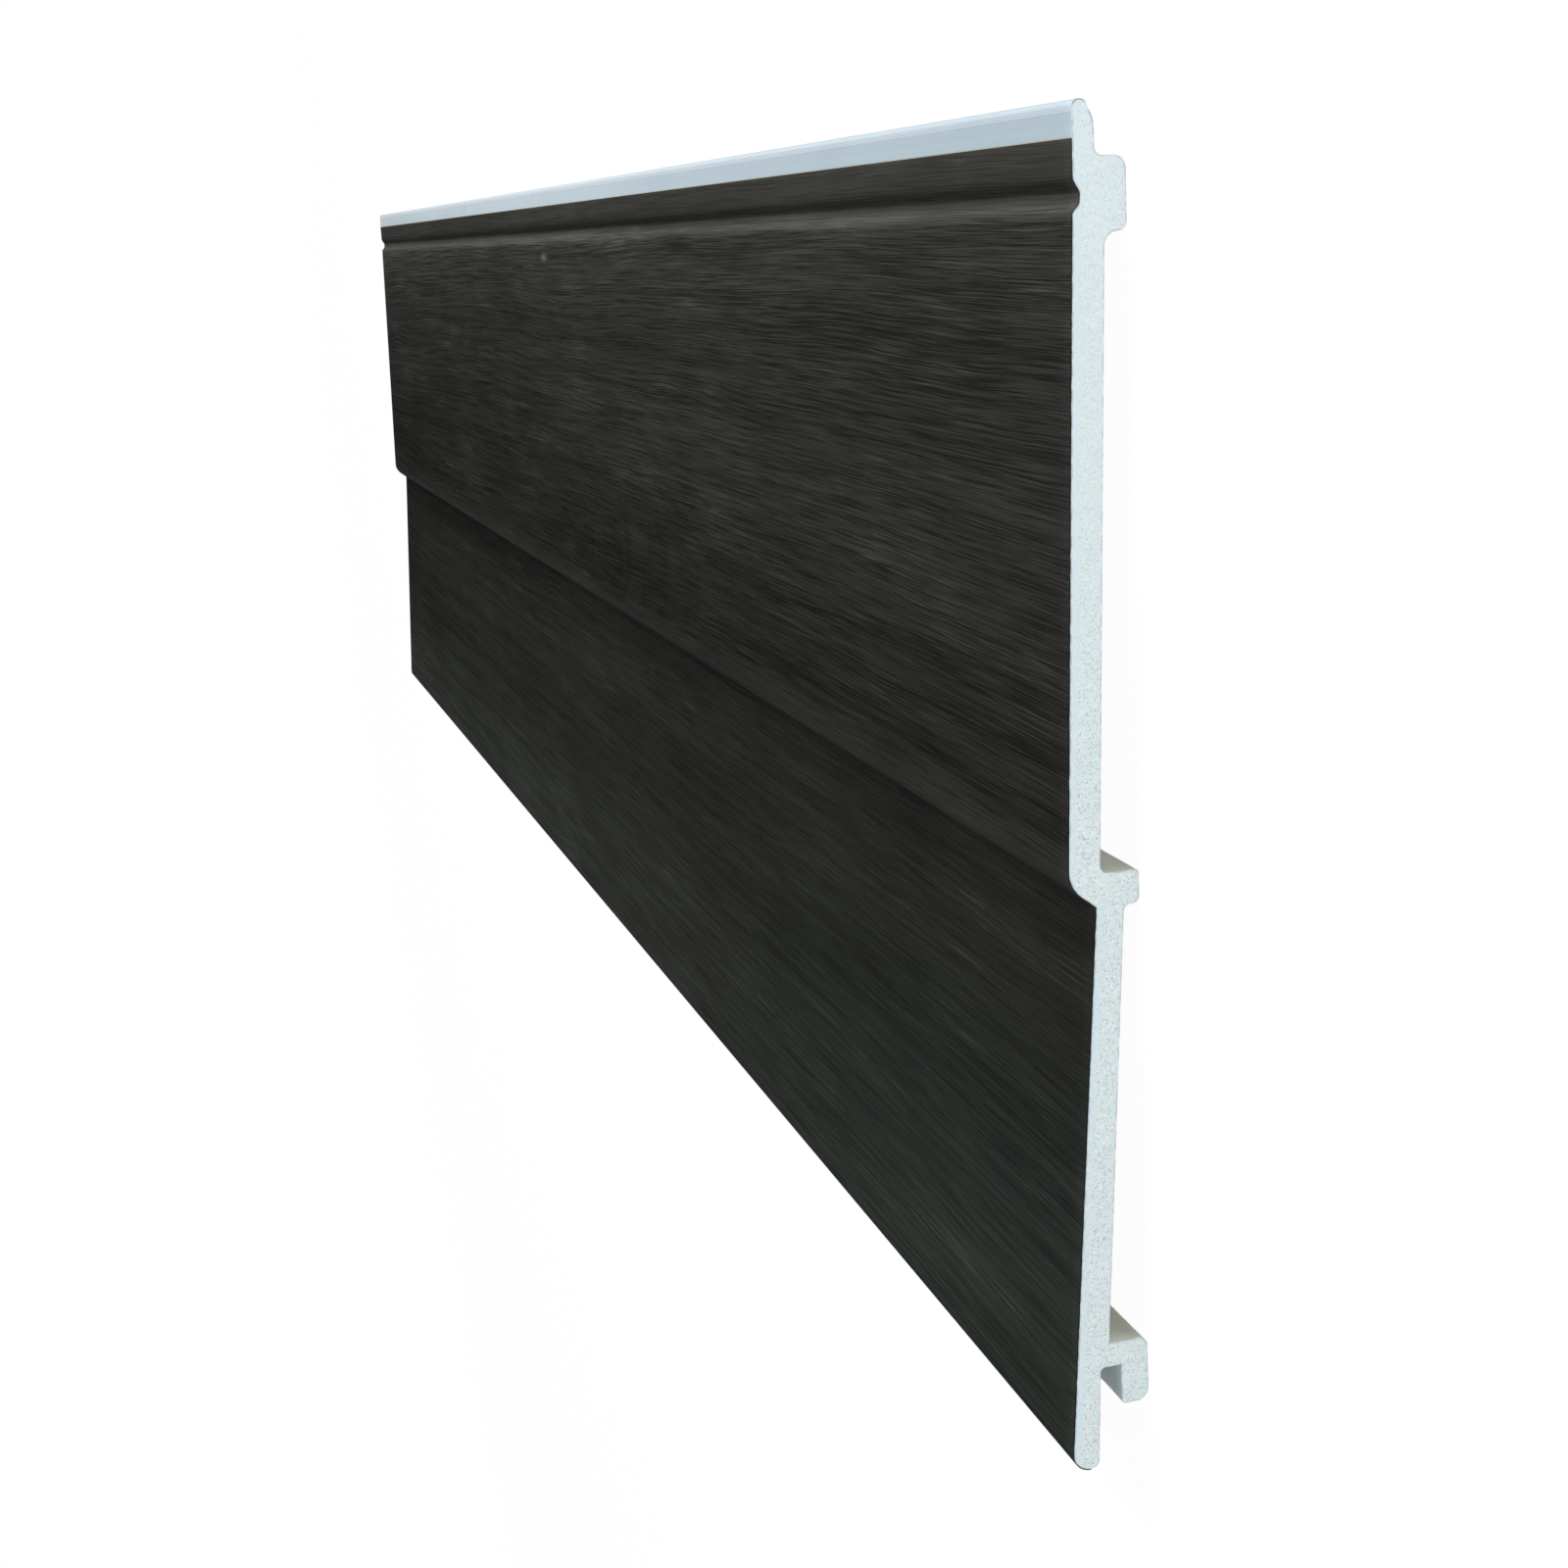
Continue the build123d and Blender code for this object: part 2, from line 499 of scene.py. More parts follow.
def moved_out(point, distance):
    """A point of the outline moved square to it; a negative distance goes into the plastic."""
    return point[0] + point[2] * distance, point[1] + point[3] * distance


stations = [-half_length + arris, -half_length + 6.0]
stations += [-half_length + board_length * k / 26 for k in range(1, 26)]
stations += [half_length - 6.0, half_length - arris]
print(len(stations), "stations along the length")

# %% Points inside the sawn end, with their depth under the skin


def gap_to_outline(across, height):
    """Distance in millimetres from a place to the nearest side of the outline."""
    nearest = 1e9
    for i, a in enumerate(board_outline):
        if abs(a[0] - across) > 9.0:
            continue
        b = board_outline[(i + 1) % len(board_outline)]
        dx = b[0] - a[0]
        dy = b[1] - a[1]
        size = dx * dx + dy * dy
        share = 0.0 if size == 0 else max(0.0, min(1.0, ((across - a[0]) * dx + (height - a[1]) * dy) / size))
        nearest = min(nearest, math.hypot(across - a[0] - share * dx, height - a[1] - share * dy))
    return nearest


def is_inside(across, height):
    """Counts how often a ray from the place crosses the outline."""
    crossings = 0
    for i, a in enumerate(board_outline):
        b = board_outline[(i + 1) % len(board_outline)]
        if (a[1] > height) != (b[1] > height):
            if across < a[0] + (height - a[1]) * (b[0] - a[0]) / (b[1] - a[1]):
                crossings += 1
    return crossings % 2 == 1


draw = random.Random(11)
inner_points = []
for column in range(int(tongue_tip / cell_spacing) + 1):
    for row in range(int(leaf_face / cell_spacing) + 1):
        across = (column + 0.5 + draw.uniform(-0.3, 0.3)) * cell_spacing
        height = (row + 0.5 + draw.uniform(-0.3, 0.3)) * cell_spacing
        if is_inside(across, height):
            gap = gap_to_outline(across, height)
            if gap > skin_depth + 0.35:
                inner_points.append((across, height, gap))
print(len(inner_points), "points inside each sawn end")

# %% Triangle net of the sawn end
rim_inner = [moved_out(p, -skin_depth) for p in board_outline]
net_points = [Vector(p) for p in rim_inner] + [Vector(p[:2]) for p in inner_points]
rim_count = len(rim_inner)
rim_edges = [(i, (i + 1) % rim_count) for i in range(rim_count)]
net_out, _, net_faces, net_from, _, _ = delaunay_2d_cdt(net_points, rim_edges, [], 1, 1e-6)
net_depth = []
for sources in net_from:
    depths = [skin_depth if s < rim_count else inner_points[s - rim_count][2] for s in sources]
    net_depth.append(min(depths) if depths else skin_depth)
print(len(net_out), "points and", len(net_faces), "triangles in the net")


# %% Build the board


def end_of_board(edit, depth_layer, mantle, side):
    """Closes one end: an arris, a band of dense skin, then the net. Side is 1 near, -1 far."""
    along = side * half_length
    rims = [mantle]
    for distance in (arris, skin_depth):
        ring = [edit.verts.new(in_room(along, *moved_out(p, -distance))) for p in board_outline]
        for vert in ring:
            vert[depth_layer] = distance
        rims.append(ring)
    verts = []
    for k, (place, depth) in enumerate(zip(net_out, net_depth)):
        rim_source = [s for s in net_from[k] if s < rim_count]
        if rim_source:
            verts.append(rims[2][rim_source[0]])
        else:
            vert = edit.verts.new(in_room(along, place[0], place[1]))
            vert[depth_layer] = depth
            verts.append(vert)
    for inner, outer in ((rims[1], rims[0]), (rims[2], rims[1])):
        for i in range(rim_count):
            j = (i + 1) % rim_count
            corners = [outer[i], outer[j], inner[j], inner[i]]
            face = edit.faces.new(corners if side > 0 else corners[::-1])
            face.material_index = 1
    for triangle in net_faces:
        corners = [verts[i] for i in triangle]
        if len(set(corners)) == 3:
            face = edit.faces.new(corners if side > 0 else corners[::-1])
            face.material_index = 1


def finished_piece(name, edit):
    """Turns an edited mesh into an object of the scene, and counts its faces and open edges."""
    bmesh.ops.recalc_face_normals(edit, faces=edit.faces)
    open_edges = [e for e in edit.edges if len(e.link_faces) != 2]
    mesh = bpy.data.meshes.new(name)
    edit.to_mesh(mesh)
    edit.free()
    piece = bpy.data.objects.new(name, mesh)
    bpy.context.scene.collection.objects.link(piece)
    print(name, "has", len(mesh.polygons), "faces and", len(open_edges), "open edges")
    return piece


edit = bmesh.new()
depth_layer = edit.verts.layers.float.new("under_skin")
flow_layer = edit.loops.layers.uv.new("flow")
rings = []
for along in stations:
    rings.append([edit.verts.new(in_room(along, p[0], p[1])) for p in board_outline])
girth = [0.0]
for i in range(rim_count):
    a = board_outline[i]
    b = board_outline[(i + 1) % rim_count]
    girth.append(girth[-1] + math.hypot(b[0] - a[0], b[1] - a[1]))
for k in range(len(rings) - 1):
    for i in range(rim_count):
        j = (i + 1) % rim_count
        face = edit.faces.new([rings[k][i], rings[k + 1][i], rings[k + 1][j], rings[k][j]])
        face.smooth = True
        flow = [(k, i), (k + 1, i), (k + 1, i + 1), (k, i + 1)]
        for loop, (station, place) in zip(face.loops, flow):
            loop[flow_layer].uv = (stations[station] / 1000, girth[place] / 1000)
end_of_board(edit, depth_layer, rings[-1], 1)
end_of_board(edit, depth_layer, rings[0], -1)
foamed_board = finished_piece("foamed_board", edit)

# %% [markdown]
# ## The woodgrain foil
#
# The foil is a printed and embossed film, a quarter of a millimetre thick, that is rolled on the warm board.
# It could be painted on the board as a colour, but then its edge would be missing, and that edge is what
# shows where the tongue stays bare. So it is its own thin closed sheet on the same curve. It was printed
# flat, so each of its points carries flat coordinates: the distance along the board, and the distance
# across the film. The pattern then runs over the groove and round the nose without stretching.

# %% Build the foil
sheet_out = [moved_out(p, foil_thickness) for p in foil_line]
sheet_in = [(p[0], p[1]) for p in foil_line]
print_across = [0.0]
for a, b in zip(sheet_out, sheet_out[1:]):
    print_across.append(print_across[-1] + math.hypot(b[0] - a[0], b[1] - a[1]))

chip_depth = 0.22
chips = random.Random(5)
near_chips = [chips.random() ** 5 * chip_depth for _ in sheet_out]
far_chips = [chips.random() ** 5 * chip_depth for _ in sheet_out]

edit = bmesh.new()
print_layer = edit.loops.layers.uv.new("flow")
foil_stations = [-half_length] + stations[1:-1] + [half_length]
sheet_rings = []
for station, along in enumerate(foil_stations):
    ring = []
    for path in (sheet_out, sheet_in[::-1]):
        for i, place in enumerate(path):
            point = i if path is sheet_out else len(sheet_in) - 1 - i
            shift = 0.0
            if station == 0:
                shift = far_chips[point]
            if station == len(foil_stations) - 1:
                shift = -near_chips[point]
            ring.append(edit.verts.new(in_room(along + shift, place[0], place[1])))
    sheet_rings.append(ring)
sheet_count = len(sheet_out)
around = 2 * sheet_count
print_of = print_across + print_across[::-1]
for k in range(len(sheet_rings) - 1):
    for i in range(around):
        j = (i + 1) % around
        here = sheet_rings[k]
        beyond = sheet_rings[k + 1]
        face = edit.faces.new([here[i], beyond[i], beyond[j], here[j]])
        face.smooth = i not in (sheet_count - 1, around - 1)
        for loop, (station, place) in zip(face.loops, [(k, i), (k + 1, i), (k + 1, j), (k, j)]):
            loop[print_layer].uv = (foil_stations[station] / 1000, print_of[place] / 1000)
for ring, side in ((sheet_rings[-1], 1), (sheet_rings[0], -1)):
    for i in range(sheet_count - 1):
        corners = [ring[i], ring[i + 1], ring[around - 2 - i], ring[around - 1 - i]]
        face = edit.faces.new(corners if side > 0 else corners[::-1])
        for loop in face.loops:
            loop[print_layer].uv = (side * half_length / 1000, print_across[i] / 1000)
woodgrain_foil = finished_piece("woodgrain_foil", edit)
print("width of the film", round(print_across[-1], 1), "mm")

# %% [markdown]
# ## Effects that both pieces share
#
# Three things mark the plastic and the foil alike. Long streaks come from the die or the embossing roller
# and run along the board. Handling leaves soft dull patches. The saw leaves a slightly rubbed rim near each
# end. Their nodes could be copied into every material, but then each change would have to be made several
# times. So each is one node group, which the materials use with their own values.


# %% Long streaks that run along the board
def shared_effect(name, output, **inputs):
    """A node group with named inputs and one number as its output, and a recipe to fill it."""
    tree = bpy.data.node_groups.new(name, "ShaderNodeTree")
    for key, value in inputs.items():
        kind = "NodeSocketVector" if value is None else "NodeSocketFloat"
        socket = tree.interface.new_socket(key.replace("_", " "), in_out="INPUT", socket_type=kind)
        if value is not None:
            socket.default_value = value
    tree.interface.new_socket(output, in_out="OUTPUT", socket_type="NodeSocketFloat")
    recipe = Recipe(tree)
    given = tree.nodes.new("NodeGroupInput").outputs
    return tree, recipe, given, tree.nodes.new("NodeGroupOutput").inputs[0]


def placed(recipe, group, **inputs):
    """Places a shared effect in a material, sets its inputs by name and returns its output."""
    made = recipe.nodes.new("ShaderNodeGroup")
    made.node_tree = group
    return recipe.fill(made, inputs).outputs[0]


streaks_group, r, given, result = shared_effect(
    "Length streaks", "Streaks", Along=0.0, Across=0.0, Streak_length=0.3, Streak_width=0.002, Seed=0.0
)
stretched = r.vector(
    r.over(given["Along"], given["Streak length"]),
    r.over(given["Across"], given["Streak width"]),
    given["Seed"],
)
r.put(result, r.spread(r.noise(stretched, detail=3.0, roughness=0.6), 0.3, 0.7))
print("made", streaks_group.name)

# %% Soft dull patches from handling
handling_group, r, given, result = shared_effect(
    "Handling marks", "Marks", Vector=None, Patch_size=0.08, Amount=1.0
)
size_up = r.over(1.0, given["Patch size"])
wide = r.noise(given["Vector"], size_up, 2.0, 0.5)
fine = r.noise(given["Vector"], r.times(size_up, 9.0), 3.0, 0.6)
patchy = r.times(r.spread(wide, 0.42, 0.72), r.spread(fine, 0.3, 0.75))
r.put(result, r.times(patchy, given["Amount"]))
print("made", handling_group.name)

# %% Rubbed rim near the sawn ends
rim_group, r, given, result = shared_effect(
    "Sawn rim", "Rim", Along=0.0, Across=0.0, Half_length=0.65, Width=0.0006
)
to_end = r.minus(given["Half length"], r.math("ABSOLUTE", given["Along"]))
nibble = r.noise(r.vector(r.times(given["Across"], 900.0), given["Half length"]), 1.0, 3.0, 0.7)
ragged = r.times(given["Width"], r.spread(nibble, 0.35, 0.75, 0.2, 1.6))
r.put(result, r.minus(1.0, r.spread(r.over(to_end, ragged), 0.2, 1.0)))
print("made", rim_group.name)

# %% [markdown]
# ## Finish of the die-smooth skin
#
# The skin is a cool, pale, slightly glossy plastic, a little paler half way along. Fine die lines run along
# it. Where the film ends on the tongue, a thread of yellowish glue has been squeezed out. It is too thin for
# a piece of its own, so it is a narrow band of colour at the place where the film's edge lies.


# %% Skin of the board
def new_material(name):
    """A material with a Principled shader in its output, and a recipe to fill it."""
    material = bpy.data.materials.new(name)
    material.use_nodes = True
    recipe = Recipe(material.node_tree)
    shader = recipe.nodes.new("ShaderNodeBsdfPrincipled")
    recipe.named("ShaderNodeOutputMaterial", Surface=shader.outputs[0])
    return material, recipe, shader


def flat_coordinates(recipe):
    """Distance along the board and across its surface, in metres."""
    sheet = recipe.node("ShaderNodeUVMap", uv_map="flow")
    return recipe.named("ShaderNodeSeparateXYZ", Vector=sheet).outputs[:2]


def room_coordinates(recipe):
    """Place in the shared frame, whole and as three parts."""
    place = recipe.nodes.new("ShaderNodeTexCoord").outputs["Object"]
    return place, recipe.named("ShaderNodeSeparateXYZ", Vector=place).outputs


skin_colour = (0.482, 0.604, 0.672, 1.0)
tip_highlight_colour = (0.660, 0.768, 0.845, 1.0)
die_line_colour = (0.330, 0.350, 0.430, 1.0)
wall_side_shade_colour = (0.590, 0.600, 0.490, 1.0)
glue_colour = (0.52, 0.50, 0.33, 1.0)
pale_streak = (0.66, 0.78, 0.86, 1.0)
dark_streak = (0.42, 0.46, 0.52, 1.0)
handled_skin = (0.40, 0.42, 0.42, 1.0)
rubbed_skin = (0.80, 0.86, 0.88, 1.0)
wall_side_from = 0.0125
wall_side_full = 0.0105
glue_width = 0.0005
tip_band = 0.0031
palest_along = -0.12
pale_reach = 0.50
die_lines = [
    (0.00030, 0.00022, 0.45),
    (0.00175, 0.00024, 0.30),
    (0.00245, 0.00020, 0.36),
    (0.00310, 0.00026, 0.50),
]

skin, r, shader = new_material("foamed_board_skin")
along, across = flat_coordinates(r)
place, axis = room_coordinates(r)
fine_lines = placed(
    r, streaks_group, Along=along, Across=across, Streak_length=1.2, Streak_width=0.0011
)
wide_lines = placed(
    r, streaks_group, Along=along, Across=across, Streak_length=2.5, Streak_width=0.006, Seed=4.0
)
marks = placed(r, handling_group, Vector=place, Patch_size=0.11)
rim = placed(r, rim_group, Along=axis[0], Across=across)
print("skin takes streaks, marks and rim from the shared effects")

# %% Colour of the skin, from the wall side to the tip of the tongue, with painted shade and a painted highlight
# Painted shade: the skin on the wall side, below the face, is painted darker and warmer, except inside the
# slot.
wall_side_shade = r.spread(axis[2], wall_side_from, wall_side_full)
slot_middle = across_place(0.5 * (hook_bottom + slot_top))
off_slot = r.math("ABSOLUTE", r.minus(axis[1], slot_middle))
wall_side_shade = r.times(wall_side_shade, r.spread(off_slot, 0.0054, 0.0066, 0.15, 1.0))
colour = r.mix(wall_side_shade, skin_colour, wall_side_shade_colour)
from_tip = r.minus(across_place(tongue_tip), axis[1])
# Painted highlight: a paler band along the rounded tip of the tongue.
tip = r.spread(from_tip, tip_band * 1.15, tip_band * 0.85)
colour = r.mix(tip, colour, tip_highlight_colour)
tip_lines = 0.0
for distance, width, strength in die_lines:
    off_line = r.math("ABSOLUTE", r.minus(from_tip, distance))
    line = r.times(r.spread(off_line, width, width * 0.3), strength)
    tip_lines = r.math("MAXIMUM", tip_lines, line)
colour = r.mix(tip_lines, colour, die_line_colour)
colour = r.mix(r.times(wide_lines, 0.16), colour, pale_streak)
colour = r.mix(r.times(fine_lines, 0.08), colour, dark_streak)
from_palest = r.math("ABSOLUTE", r.minus(axis[0], palest_along))
colour = r.mix(r.spread(from_palest, pale_reach, 0.05, 0.0, 0.40), colour, tip_highlight_colour)
from_film = r.minus(axis[1], across_place(foil_start))
thread = r.minus(1.0, r.spread(from_film, 0.0, glue_width))
on_face = r.spread(axis[2], 0.0130, 0.0135)
colour = r.mix(r.times(r.times(thread, on_face), 0.85), colour, glue_colour)
colour = r.mix(r.times(marks, 0.10), colour, handled_skin)
colour = r.mix(r.times(rim, 0.6), colour, rubbed_skin)
r.put(shader.inputs["Base Color"], colour)
print("the tip's band is", tip_band, "m wide")

# %% Gloss and relief of the skin
gloss = r.plus(r.spread(fine_lines, 0.0, 1.0, 0.34, 0.44), r.times(marks, 0.16))
r.put(shader.inputs["Roughness"], gloss)
shader.inputs["Specular IOR Level"].default_value = 0.20
relief = r.plus(r.times(fine_lines, 0.5), r.times(wide_lines, 1.0))
relief = r.minus(relief, r.times(tip_lines, 0.6))
bump = r.named("ShaderNodeBump", Strength=0.35, Distance=0.00006, Height=relief)
r.put(shader.inputs["Normal"], bump.outputs[0])
foamed_board.data.materials.append(skin)
print("made", skin.name)

# %% [markdown]
# ## Finish of the sawn foam
#
# Under the saw the foam shows as a pale face with a soft speckle of torn cells: cold grey, white and a few
# yellowish ones. The speckle is strongest round the middle rail and calmer towards the flange, and just
# under the weather face lies a calm, bluish band. Real pits would need millions of faces, so noise draws
# the cells, as colour and a little relief. The depth that each point of the net carries keeps the dense skin
# free of them.


# %% Sawn end of the board
foam_colour = (0.680, 0.765, 0.780, 1.0)
foam_cool = (0.640, 0.760, 0.815, 1.0)
foam_shadow = (0.370, 0.435, 0.450, 1.0)
foam_warm = (0.640, 0.610, 0.430, 1.0)
foam_white = (0.900, 0.950, 0.950, 1.0)
rim_shade_colour = (0.300, 0.320, 0.370, 1.0)
handled_cut = (0.50, 0.52, 0.50, 1.0)
cell_size = 0.00060
calm_band = 0.0022

cut, r, shader = new_material("foamed_board_cut")
place, axis = room_coordinates(r)
depth = r.nodes.new("ShaderNodeAttribute")
depth.attribute_name = "under_skin"
deep = r.spread(depth.outputs["Fac"], 0.25, 0.90)


def torn_cells(size, low, high, seed):
    """Soft specks of one size: a mask that is 1 where noise is above its high limit."""
    shifted = r.node("ShaderNodeVectorMath", place, (seed, seed * 1.7, seed * 0.6), operation="ADD")
    return r.spread(r.noise(shifted, 1.0 / size, 1.0, 0.5), low, high)


def below_face(low, high):
    """Depth under the straight face of one course, in metres."""
    slope = (high[1] - low[1]) / (high[0] - low[0])
    face = r.times_plus(axis[1], slope, (low[1] - slope * (low[0] - section_middle)) / 1000)
    return r.minus(face, axis[2])


on_upper = r.math("GREATER_THAN", axis[1], across_place(step_root))
under_upper = below_face((nose, nose_height), (groove_lower_lip, groove_lip))
under_lower = below_face((0.0, leaf_face), (step_root, step_root_height))
under_face = r.plus(r.times(under_upper, on_upper), r.times(under_lower, r.minus(1.0, on_upper)))
calm = r.spread(under_face, calm_band * 1.15, calm_band * 0.75)
calmer = r.spread(axis[1], across_place(rail_top), across_place(flange_bottom - 40.0), 0.80, 0.40)
strength = r.times(deep, calmer)
strength = r.times(strength, r.spread(calm, 0.0, 1.0, 1.0, 0.45))
print("cells are", cell_size, "m, calm band", calm_band, "m")

# %% Colour of the sawn end
cloud = r.noise(place, 260.0, 3.0, 0.6)
colour = r.mix(r.spread(cloud, 0.35, 0.7, 0.0, 0.35), foam_colour, foam_cool)
colour = r.mix(r.times(calm, 0.55), colour, foam_cool)
white_cells = r.times(torn_cells(cell_size * 1.4, 0.52, 0.70, 5.2), strength)
warm_cells = r.times(torn_cells(cell_size * 1.6, 0.58, 0.70, 7.3), strength)
holes = r.times(torn_cells(cell_size, 0.55, 0.68, 0.0), strength)
colour = r.mix(r.times(white_cells, 0.60), colour, foam_white)
colour = r.mix(r.times(warm_cells, 0.45), colour, foam_warm)
colour = r.mix(r.times(holes, 0.80), colour, foam_shadow)
# Painted shade: a darker grey-blue outline near the edge of the sawn end, strongest towards the tongue's tip.
rim_shade = r.spread(depth.outputs["Fac"], 0.62, 0.20)
rim_shade = r.times(rim_shade, r.spread(r.noise(place, 320.0, 2.0), 0.40, 0.58))
at_tip = r.spread(axis[1], across_place(tongue_tip - 9.0), across_place(tongue_tip - 3.0), 0.50, 0.95)
colour = r.mix(r.times(rim_shade, at_tip), colour, rim_shade_colour)
marks = placed(r, handling_group, Vector=place, Patch_size=0.02, Amount=0.6)
colour = r.mix(r.times(marks, 0.08), colour, handled_cut)
r.put(shader.inputs["Base Color"], colour)
print("foam", foam_colour[:3], "calm band", foam_cool[:3])

# %% Surface of the sawn end
r.put(shader.inputs["Roughness"], r.spread(holes, 0.0, 1.0, 0.62, 0.85))
shader.inputs["Specular IOR Level"].default_value = 0.30
saw_stroke = r.vector(r.times(axis[1], 1400.0), r.times(axis[2], 60.0))
saw_lines = r.noise(saw_stroke, 1.0, 2.0)
height = r.minus(r.times(saw_lines, 0.15), holes)
bump = r.named("ShaderNodeBump", Strength=0.40, Distance=0.00010, Height=height)
r.put(shader.inputs["Normal"], bump.outputs[0])
foamed_board.data.materials.append(cut)
print("made", cut.name)

# %% [markdown]
# ## Print and embossing of the foil
#
# The print imitates a crown-cut oak plank that was stained almost black. In such a plank the saw passes
# through the growth rings at a slant, so they show as long nested arches, and beside the arches the grain
# runs straight. A picture of real wood could be laid on the film, but it would show seams, and a recipe fits
# any length. So the distance from a slanted axis gives the rings, soft noise bends them, and a few eyes push
# them aside where a branch was.

# %% Rings of a crown-cut plank
film, r, shader = new_material("woodgrain_foil")
along, across = flat_coordinates(r)
place, axis = room_coordinates(r)

crown_across = 0.158
crown_far_end = -0.05
crown_near_end = 0.34
crown_height = 0.085

grain_along = r.times(along, r.times_plus(along, 0.25, 0.675))


def soft_noise(length, width, seed):
    """Noise between -1 and 1 that is longer along the board than across it."""
    shape = r.vector(r.over(along, length), r.over(across, width), seed)
    return r.spread(r.noise(shape, 1.0, 2.0), 0.25, 0.75, -1.0, 1.0)


def eye(middle_along, middle_across, length, width):
    """A soft hill of height 1 at one place of the film."""
    a = r.over(r.minus(along, middle_along), length)
    b = r.over(r.minus(across, middle_across), width)
    spread_out = r.plus(r.times(a, a), r.times(b, b))
    return r.math("EXPONENT", r.times(spread_out, -1.0))


bends = [
    (0.90, 0.18, 0.0044, 1.0),
    (0.26, 0.06, 0.0010, 2.0),
    (0.050, 0.012, 0.00018, 3.0),
]
drift = 0.0
for length, width, push, seed in bends:
    drift = r.times_plus(soft_noise(length, width, seed), push, drift)
large_knot = eye(-0.365, 0.079, 0.095, 0.0125)
end_knot = eye(-0.600, 0.080, 0.040, 0.0070)
low_knot = eye(-0.480, 0.178, 0.110, 0.0120)
for knot, push in ((large_knot, 0.0060), (end_knot, 0.0040), (low_knot, -0.0070)):
    drift = r.times_plus(knot, push, drift)
from_crown = r.minus(r.plus(across, drift), crown_across)
slant = r.spread(along, crown_far_end, crown_near_end, 0.0, crown_height)
squares = r.times_plus(from_crown, from_crown, r.times(slant, slant))
ring = r.math("SQRT", squares)
print("crown from", crown_far_end, "to", crown_near_end, "m along,", crown_across, "m down the film")

# %% [markdown]
# The grain is made of four layers that differ only in size, from wide soft bands down to fibres less than
# half a millimetre apart. Each one is noise that is stretched along the grain. The arches are faint and fill
# only a part of the film, so only the two widest layers bend into them there, while lines and fibres always
# run straight, as they do in wood. The grain also grows longer towards the far end. Dark pores, thin pale
# lines and short bright streaks come on top, and the streaks lie together in clusters.

# %% Layers of grain that follow the rings
arch_share = r.times(eye(0.15, crown_across, 0.20, 0.055), 0.60)


def along_grain(length, width, seed, detail=2.0):
    """Noise that is long along the straight grain and narrow across it."""
    place_along = r.over(grain_along, length)
    place_across = r.over(from_crown, width)
    return r.noise(r.vector(place_along, place_across, seed + 40.0), 1.0, detail, 0.60)


def with_arches(length, width, seed):
    """The same noise, mixed with noise that follows the rings where the crown is."""
    plain = along_grain(length, width, seed)
    side = r.plus(r.times(from_crown, 9.0), seed)
    place_across = r.over(ring, width)
    arched = r.noise(r.vector(r.over(grain_along, length), place_across, side), 1.0, 2.0, 0.60)
    return r.times_plus(r.minus(arched, plain), arch_share, plain)


bands = r.spread(with_arches(0.300, 0.0090, 0.0), 0.32, 0.68)
rings = r.spread(with_arches(0.220, 0.0028, 5.0), 0.32, 0.68)
lines = r.spread(along_grain(0.090, 0.00085, 9.0, 1.5), 0.32, 0.68)
fibres = r.spread(along_grain(0.036, 0.00038, 13.0), 0.34, 0.66)
pores = r.spread(along_grain(0.036, 0.00040, 17.0, 1.0), 0.60, 0.70)
pale_lines = r.spread(along_grain(0.070, 0.00060, 25.0, 1.0), 0.55, 0.68)
cluster_place = r.vector(r.over(along, 0.12), r.over(across, 0.014), 7.0)
clusters = r.spread(r.noise(cluster_place), 0.50, 0.66)
glints = r.times(r.spread(along_grain(0.032, 0.00055, 21.0, 1.0), 0.50, 0.66), clusters)
tone = 0.0
for layer, weight in ((bands, 0.17), (rings, 0.15), (lines, 0.21), (fibres, 0.47)):
    tone = r.times_plus(layer, weight, tone)
print("grain layers: bands, rings, lines, fibres, pores, pale lines and clustered glints")

# %% [markdown]
# The stain isn't one colour. It is brownish near the tongue and turns greenish further down, sooner towards
# the far end, and most at the near end of the leaf. It is calmer on the lower course, and the grain is calmer
# over the groove and the nose, where the film was stretched. Light and shade are painted into the stain too:
# the lower course is painted darker, the strip above the groove, the groove, its lip, the shoulder below it,
# the nose and the leaf carry painted highlights, and the foot of the upper course and the place under the
# step carry painted shade. Each such place is a soft band across the film, given by its middle, by how far it
# reaches up and down, and by how much it lightens or darkens the stain at the near end and towards the far
# end. Light and dark grain are shares of the stain, so both keep its hue.

# %% Colour of the stain over the whole film
film_brown = (0.0335, 0.0328, 0.0300, 1.0)
film_green = (0.0270, 0.0322, 0.0280, 1.0)
lower_course_shade = 0.84
# Painted light and shade: a positive amount paints a highlight along the band, a negative amount paints
# shade.
painted_light_bands = [
    ("strip above the groove", groove_upper_lip + 4.5, 40.0, 6.2, 0.60, 0.66),
    ("groove", groove_floor_end - 0.3, 4.4, 4.1, 1.80, 1.95),
    ("lip of the groove", groove_lower_lip, 6.5, 6.5, 0.00, 0.80),
    ("shoulder below the groove", groove_lower_lip - 1.0, 4.0, 44.0, 0.24, 0.58),
    ("foot of the upper course", nose + 12.0, 90.0, 9.0, -0.30, -0.24),
    ("nose", nose - 2.0, 6.6, 6.5, 0.55, 0.80),
    ("under the step", step_root - 1.5, 3.0, 26.0, -0.14, -0.32),
    ("leaf", 8.0, 90.0, 12.0, 0.34, 0.50),
]


def share_of(colour, share):
    """A colour at a share of its strength."""
    return r.mix(1.0, colour, r.vector(share, share, share), "MULTIPLY")


def soft_band(middle, above, below):
    """1 along one line of the film, falling softly to 0 at its reach above and below, in millimetres."""
    off = r.minus(axis[1], across_place(middle))
    return r.times(r.spread(off, above / 1000, 0.0), r.spread(off, -below / 1000, 0.0))


